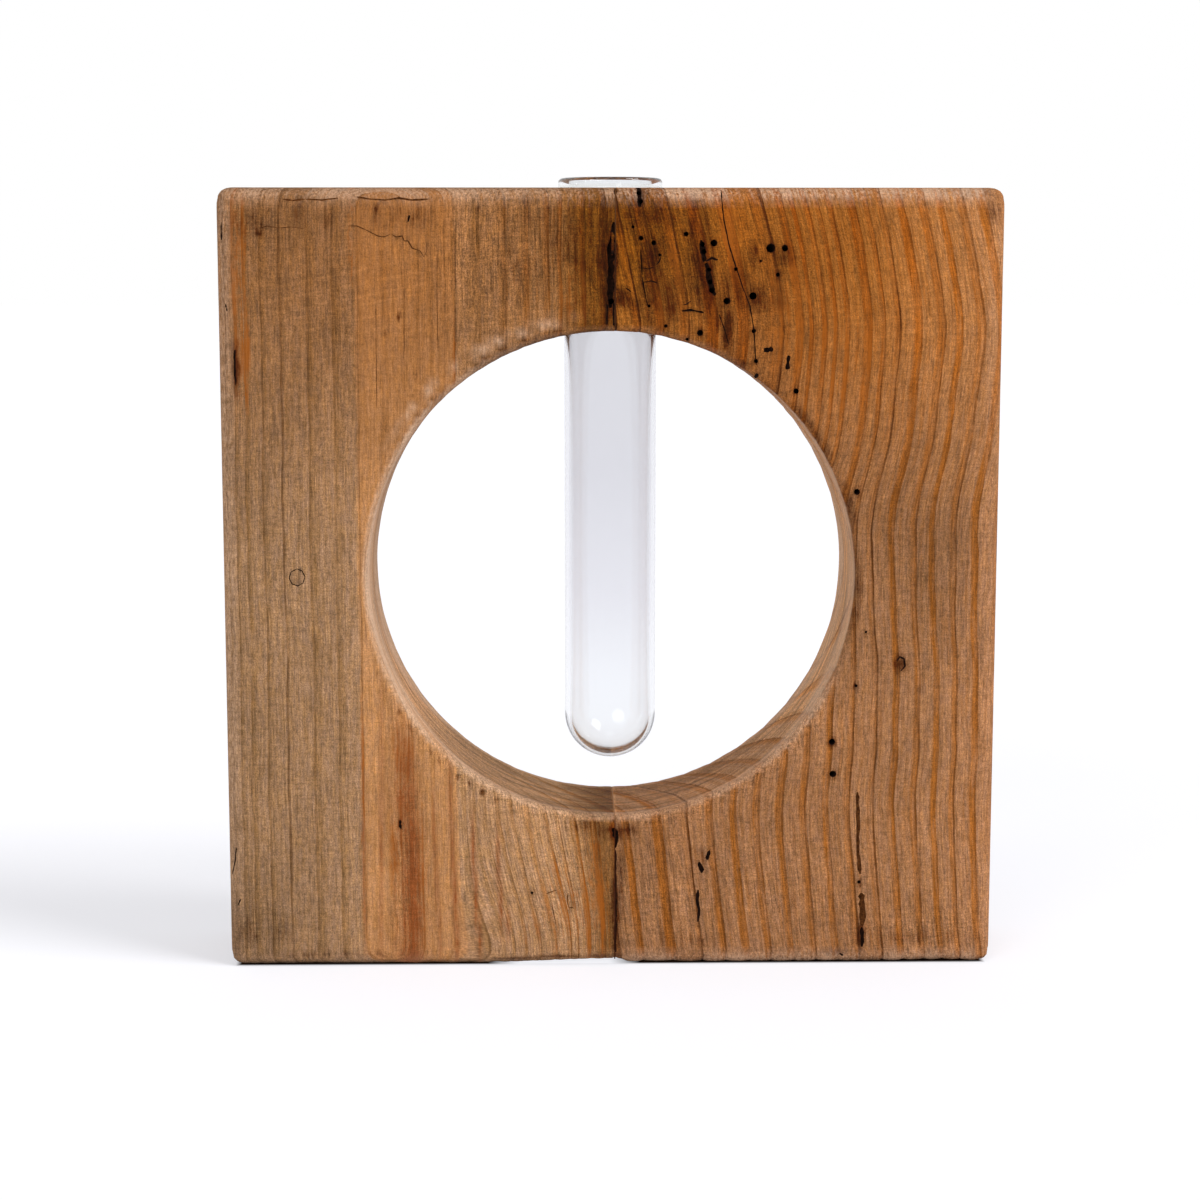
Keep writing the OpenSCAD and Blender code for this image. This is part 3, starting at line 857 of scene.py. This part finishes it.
def softwood(board):
    # Old softwood, weathered, brushed and waxed: pale early wood, then an orange band that ends in a
    # thin dark line each year, fine fibres and specks along it, stains and a low sheen.
    material, add = newMaterial(board["slot"])
    outs = {"grain": "Vector", "turned": "Vector"}
    marks = {name: add("ShaderNodeAttribute", attribute_name=name, out=outs.get(name, "Fac"))
             for name in ("ring", "grain", "heart", "turned", "arris", "rim", "wall", "endGrain", *blots)}
    height = add("ShaderNodeSeparateXYZ", [marks["grain"]], out="Z")
    marks["rings"] = add("ShaderNodeCombineXYZ", [marks["ring"], 0, height])
    noise = woodNoise(add, marks)
    rise = add("ShaderNodeMapRange", [height, *woodPlaces["rise"], 0, 1], interpolation_type="SMOOTHSTEP")
    year, line, lateShare, lineShare = woodYears(add, board, marks, noise, rise)
    colour = woodColour(add, board, marks, noise, rise, lateShare, lineShare)
    tone, fine = woodTexture(add, board, marks, noise, height)
    colour = add("ShaderNodeVectorMath", {"Vector": colour, "Scale": tone}, operation="SCALE")
    colour = woodCovers(add, marks, noise, year, lateShare, fine, colour)
    relief = noise["band"]
    for more, share in ((noise["fibre"], 1), (noise["mottle"], 0.4), (line, -0.5), (noise["pore"], -0.3)):
        relief = add("ShaderNodeMath", [more, share, relief], operation="MULTIPLY_ADD")
    bump = add("ShaderNodeBump", {"Strength": 0.8, "Distance": 0.25 * mm, "Height": relief})
    rough = add("ShaderNodeMapRange", [noise["strand"], 0.3, 0.7, 0.6, 0.75])
    surface = add("ShaderNodeBsdfPrincipled", {
        "Base Color": colour, "Roughness": rough, "Specular IOR Level": 0.06, "Normal": bump})
    add("ShaderNodeOutputMaterial", [surface])
    return material


def dirtMaterial(name, dark, light):
    # the inside of worm galleries and cracks: old frass and grime, dark and dull; near black where it lines
    # the holes, galleries and cracks, which is also painted shade in these deep recesses
    material, add = newMaterial(name)
    place = add("ShaderNodeTexCoord", out="Object")
    dust = add("ShaderNodeTexNoise", [place, 1 / (0.6 * mm), 2])
    colour = add("ShaderNodeValToRGB", [dust], stops=((0.35, dark), (0.7, light)))
    surface = add("ShaderNodeBsdfPrincipled", {
        "Base Color": colour, "Roughness": 0.95, "Specular IOR Level": 0.1})
    add("ShaderNodeOutputMaterial", [surface])
    return material


boardMesh = {"voxel": 0.52 * mm, "stretch": 4, "sharpAngle": math.radians(55)}
# near black: grime in the holes, galleries and cracks, and painted shade in these deep recesses
dirtAndShade = dirtMaterial("galleryDirtAndShade", "#0e0603", "#28130a")
cutters = [
    makeCutter("holes", holeTubes(), dirtAndShade),
    makeCutter("galleries", channelTubes(galleries, 3), dirtAndShade),
    makeCutter("cracks", channelTubes(cracks, 4), dirtAndShade),
    makeCutter("hairlines", channelTubes(hairlines, 8),
               dirtMaterial("hairlineDirt", "#46250f", "#744621")),
]


def buildBoard(board, rings):
    mesh = frame["nodes"][board["node"]].data.copy()
    squeeze = Matrix.Diagonal((1, 1, 1 / boardMesh["stretch"], 1))
    shape = openMesh(mesh)
    bmesh.ops.transform(shape, matrix=squeeze, verts=shape.verts)
    piece = newPiece(board["node"] + "_wood", closeMesh(shape, mesh))
    remesh = piece.modifiers.new("fine", "REMESH")  # squeezed along the grain, where less happens
    remesh.mode = "VOXEL"
    remesh.voxel_size = boardMesh["voxel"]
    settle(piece)
    piece.data.transform(squeeze.inverted())
    piece.data.update()
    weather(piece.data, board, rings)
    piece.data.materials.clear()
    piece.data.materials.append(softwood(board))
    cutAway(piece, cutters, "TRANSFER")
    markGrain(piece.data, rings)
    piece.data.shade_smooth()
    piece.data.set_sharp_from_angle(angle=boardMesh["sharpAngle"])
    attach(piece, "block")
    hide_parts(board["node"])
    print(piece.name, len(piece.data.vertices), "vertices,", len(piece.data.polygons), "triangles")


buildBoard(leftBoard, leftRings)
buildBoard(rightBoard, rightRings)

# Glue: a dark film that has sunk a little below the wood as it dried, where it is this near in mm to
# the faces, the window or the top
glueFilm = {"sunk": 0.12, "nearFace": 2.5, "nearWindow": 2.5, "nearTop": 4.5}


def buildGlue():
    material, add = newMaterial("glue")
    place = add("ShaderNodeTexCoord", out="Object")
    grit = add("ShaderNodeTexNoise", [place, 1 / (1.2 * mm), 3])
    # by height: dark where it shows on the front, like the wood's dust on the window's wall and the top
    height = add("ShaderNodeSeparateXYZ", [place], out="Z")
    up = add("ShaderNodeMath", [height, blockHigh[2] * mm], operation="DIVIDE")
    tone = add("ShaderNodeValToRGB", [up], stops=(
        (0.188, "#4a2412"), (0.196, "#8a6446"), (0.6, "#8a6446"), (0.83, "#3a1f0e"), (0.92, "#3a1f0e"),
        (0.95, "#56341a")))
    grit = add("ShaderNodeMapRange", [grit, 0.3, 0.7, 0.75, 1.25])
    colour = add("ShaderNodeVectorMath", {"Vector": tone, "Scale": grit}, operation="SCALE")
    surface = add("ShaderNodeBsdfPrincipled", {
        "Base Color": colour, "Roughness": 0.8, "Specular IOR Level": 0.1})
    add("ShaderNodeOutputMaterial", [surface])
    shape = openMesh(frame["nodes"]["glue_line"].data)
    middle = Vector((0, 0, windowZ * mm))
    for vert in shape.verts:
        inward = Vector((0, 0, 0))
        if blockHigh[1] - abs(vert.co.y) / mm < glueFilm["nearFace"]:
            inward.y = -math.copysign(1, vert.co.y)
        outward = vert.co - middle
        if Vector((outward.x, 0, outward.z)).length / mm < windowR + glueFilm["nearWindow"]:
            inward.z = math.copysign(1, outward.z)
        elif blockHigh[2] - vert.co.z / mm < glueFilm["nearTop"]:
            inward.z = -1
        vert.co += inward * glueFilm["sunk"] * mm
    piece = newPiece("glue_film", closeMesh(shape, bpy.data.meshes.new("glue_film")), material)
    cutAway(piece, [bpy.data.objects["cracks"]], "INDEX")
    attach(piece, "block")
    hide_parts("glue_line")


buildGlue()
for cutter in cutters:
    bpy.data.objects.remove(cutter)

# Test tube: drawn borosilicate glass, closed round at one end and rolled to a lip at the other
tubeLow, tubeHigh = (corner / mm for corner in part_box("glass_tube"))
testTube = {
    "inside": next(m for m in frame["record"]["mounts"] if m["name"] == "tube_mouth")["dims"]["r_mm"],
    "wall": 1.2,
    "endWall": 1.8,
    "lipRadius": tubeHigh.x,
    "lipHeight": tubeHigh.z - blockHigh[2],
    "rimRound": 1,
    "underRound": 0.35,
    "mouthRound": 0.9,
    "steps": {"turn": 128, "ball": 24, "side": 12, "rim": 8, "under": 4},
    "sharpAngle": math.radians(60),
}


def arcPoints(x, z, radius, start, end, count):
    # points of an arc in the half plane of the tube's outline, angles in degrees
    turns = [math.radians(start + (end - start) * k / count) for k in range(count + 1)]
    return [(x + radius * math.cos(a), z + radius * math.sin(a)) for a in turns]


def buildTube():
    size = testTube
    outside = size["inside"] + size["wall"]
    endBall = tubeLow.z + outside
    insideBall = tubeLow.z + size["endWall"] + size["inside"]
    lipUnder = tubeHigh.z - size["lipHeight"]
    turn, ball, side, rim, under = size["steps"].values()
    outline = arcPoints(0, endBall, outside, -90, 0, ball)
    outline += [(outside, endBall + (lipUnder - endBall) * k / side) for k in range(1, side + 1)]
    outline += arcPoints(size["lipRadius"] - size["underRound"], lipUnder + size["underRound"],
                         size["underRound"], -90, 0, under)
    outline += arcPoints(size["lipRadius"] - size["rimRound"], tubeHigh.z - size["rimRound"],
                         size["rimRound"], 0, 90, rim)
    outline += arcPoints(size["inside"] + size["mouthRound"], tubeHigh.z - size["mouthRound"],
                         size["mouthRound"], 90, 180, rim)
    straight = tubeHigh.z - size["mouthRound"] - insideBall
    outline += [(size["inside"], insideBall + straight * (1 - k / side)) for k in range(1, side)]
    outline += arcPoints(0, insideBall, size["inside"], 0, -90, ball)
    shape = bmesh.new()
    verts = [shape.verts.new((x * mm, 0, z * mm)) for x, z in outline]
    edges = [shape.edges.new(pair) for pair in zip(verts, verts[1:])]
    bmesh.ops.spin(shape, geom=verts + edges, axis=(0, 0, 1), cent=(0, 0, 0), angle=2 * math.pi,
                   steps=turn, use_merge=True)
    bmesh.ops.remove_doubles(shape, verts=shape.verts, dist=mergeDistance)
    bmesh.ops.recalc_face_normals(shape, faces=shape.faces)
    mesh = closeMesh(shape, bpy.data.meshes.new("test_tube"))
    mesh.shade_smooth()
    mesh.set_sharp_from_angle(angle=size["sharpAngle"])
    return newPiece("test_tube", mesh, clearGlass())


def clearGlass():
    # Borosilicate glass, fire-polished: clear, with a faint grey cast that is stronger at the top; the cast
    # is a painted reflection of the surroundings that the glass shows
    material, add = newMaterial("glass")
    place = add("ShaderNodeTexCoord", out="Object")
    height = add("ShaderNodeSeparateXYZ", [place], out="Z")
    up = add("ShaderNodeMapRange", [height, tubeLow.z * mm, tubeHigh.z * mm, 0, 1])
    # painted reflection: the grey by height stands in for the surroundings seen in the glass
    colour = add("ShaderNodeValToRGB", [up], stops=(
        (0, "#fafbfb"), (0.14, "#f8f9fa"), (0.29, "#f1f1f3"), (0.5, "#ebebed"), (0.9, "#eaeaeb"),
        (0.98, "#f4f5f5")))
    glass = add("ShaderNodeBsdfPrincipled", {
        "Base Color": colour, "Roughness": 0, "IOR": 1.47, "Transmission Weight": 1})
    clear = add("ShaderNodeBsdfTransparent", [(0.93, 0.94, 0.94, 1)])
    shadow = add("ShaderNodeLightPath", out="Is Shadow Ray")  # lamps reach what is behind the glass
    surface = add("ShaderNodeMixShader", [shadow, glass, clear])
    add("ShaderNodeOutputMaterial", [surface])
    return material


tube = buildTube()
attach(tube, "tube")
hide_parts("glass_tube")
print("test tube built")

# Studio: pale floor, white background, and two large soft lamps far off: their azimuth from the
# camera's side, height, strength and spread. In mm: half of what the block stands on, where the floor
# carries painted shade, how soft its edge is, the middle of the hollow under the joint, and how far a
# painted light makes the floor glow white in it.
studio = {
    "floorHalf": 12,
    "foot": (97.5, 16.3),
    "paintedShadeEdge": 1.5,
    "hollow": -12.5,
    "hollowPaintedLightReach": (12, 20),
    "air": 0.52,
    "lamps": (("keyLamp", 64, 46, 2.0, 26), ("fillLamp", -28, 24, 0.88, 36)),
}


def isSeen(add):
    # 1 for rays from the camera and for what mirrors and glass show
    rays = [add("ShaderNodeLightPath", out=name)
            for name in ("Is Camera Ray", "Is Glossy Ray", "Is Transmission Ray")]
    return add("ShaderNodeMath", [add("ShaderNodeMath", rays[:2], operation="MAXIMUM"), rays[2]],
               operation="MAXIMUM")


def buildStudio():
    material, add = newMaterial("floorPaint")
    lit = add("ShaderNodeBsdfDiffuse", [linear("#ebebed")])
    # it glows white round the block as an even backdrop; the stronger glow in the hollow under the joint is
    # painted light, and the dark brown under the block is painted shade
    place = add("ShaderNodeTexCoord", out="Object")
    apart = add("ShaderNodeVectorMath", [place], operation="ABSOLUTE")
    wide, deep = (half * mm for half in studio["foot"])
    apart = add("ShaderNodeVectorMath", [apart, (wide, deep, 0)], operation="SUBTRACT")
    outX, outY = (add("ShaderNodeSeparateXYZ", [apart], out=axis) for axis in ("X", "Y"))
    beside = add("ShaderNodeMath", [outX, outY], operation="MAXIMUM")
    side = add("ShaderNodeSeparateXYZ", [place], out="X")
    fromHollow = add("ShaderNodeMath", [side, studio["hollow"] * mm], operation="SUBTRACT")
    fromHollow = add("ShaderNodeMath", [fromHollow], operation="ABSOLUTE")
    near, far = (reach * mm for reach in studio["hollowPaintedLightReach"])
    # painted light: the floor in the hollow under the joint glows brighter than the white round the block
    paintedHollowLight = add("ShaderNodeMapRange", [fromHollow, near, far, 0.85, 0])
    bright = add("ShaderNodeMapRange", [beside, 0, studio["paintedShadeEdge"] * mm, paintedHollowLight, 0.51])
    clear = add("ShaderNodeMapRange", [bright, 0, 0.4, 0, 1])
    # painted shade: where the block stands, the floor turns dark brown
    floorWithPaintedShade = add("ShaderNodeMix", [clear, linear("#3a2414"), linear("#bababd")], data_type="RGBA")
    floorWithPaintedShade = add("ShaderNodeBsdfDiffuse", [floorWithPaintedShade])
    glow = add("ShaderNodeEmission", [(0.965, 0.972, 1.02, 1), bright])
    white = add("ShaderNodeAddShader", [floorWithPaintedShade, glow])
    surface = add("ShaderNodeMixShader", [isSeen(add), lit, white])
    add("ShaderNodeOutputMaterial", [surface])
    shape = bmesh.new()
    bmesh.ops.create_grid(shape, x_segments=1, y_segments=1, size=studio["floorHalf"])
    bmesh.ops.translate(shape, vec=(0, 0, blockLow[2] * mm - 0.02 * mm), verts=shape.verts)
    newPiece("floor", closeMesh(shape, bpy.data.meshes.new("floor")), material)

    world = bpy.data.worlds.new("studio")
    world.use_nodes = True
    world.node_tree.nodes.clear()
    add = functools.partial(addNode, world.node_tree)
    air = add("ShaderNodeBackground", [(1, 1, 1, 1), studio["air"]])
    white = add("ShaderNodeBackground", [(1, 1, 1, 1), 1])
    add("ShaderNodeOutputWorld", [add("ShaderNodeMixShader", [isSeen(add), air, white])])
    scene.world = world
    for name, azimuth, height, strength, spread in studio["lamps"]:
        lamp = bpy.data.lights.new(name, "SUN")
        lamp.energy = strength
        lamp.angle = math.radians(spread)
        holder = bpy.data.objects.new(name, lamp)
        a, e = math.radians(azimuth), math.radians(height)
        toLamp = Vector((math.sin(a) * math.cos(e), -math.cos(a) * math.cos(e), math.sin(e)))
        holder.rotation_euler = toLamp.to_track_quat("Z", "Y").to_euler()
        scene.collection.objects.link(holder)


buildStudio()
print("studio built")
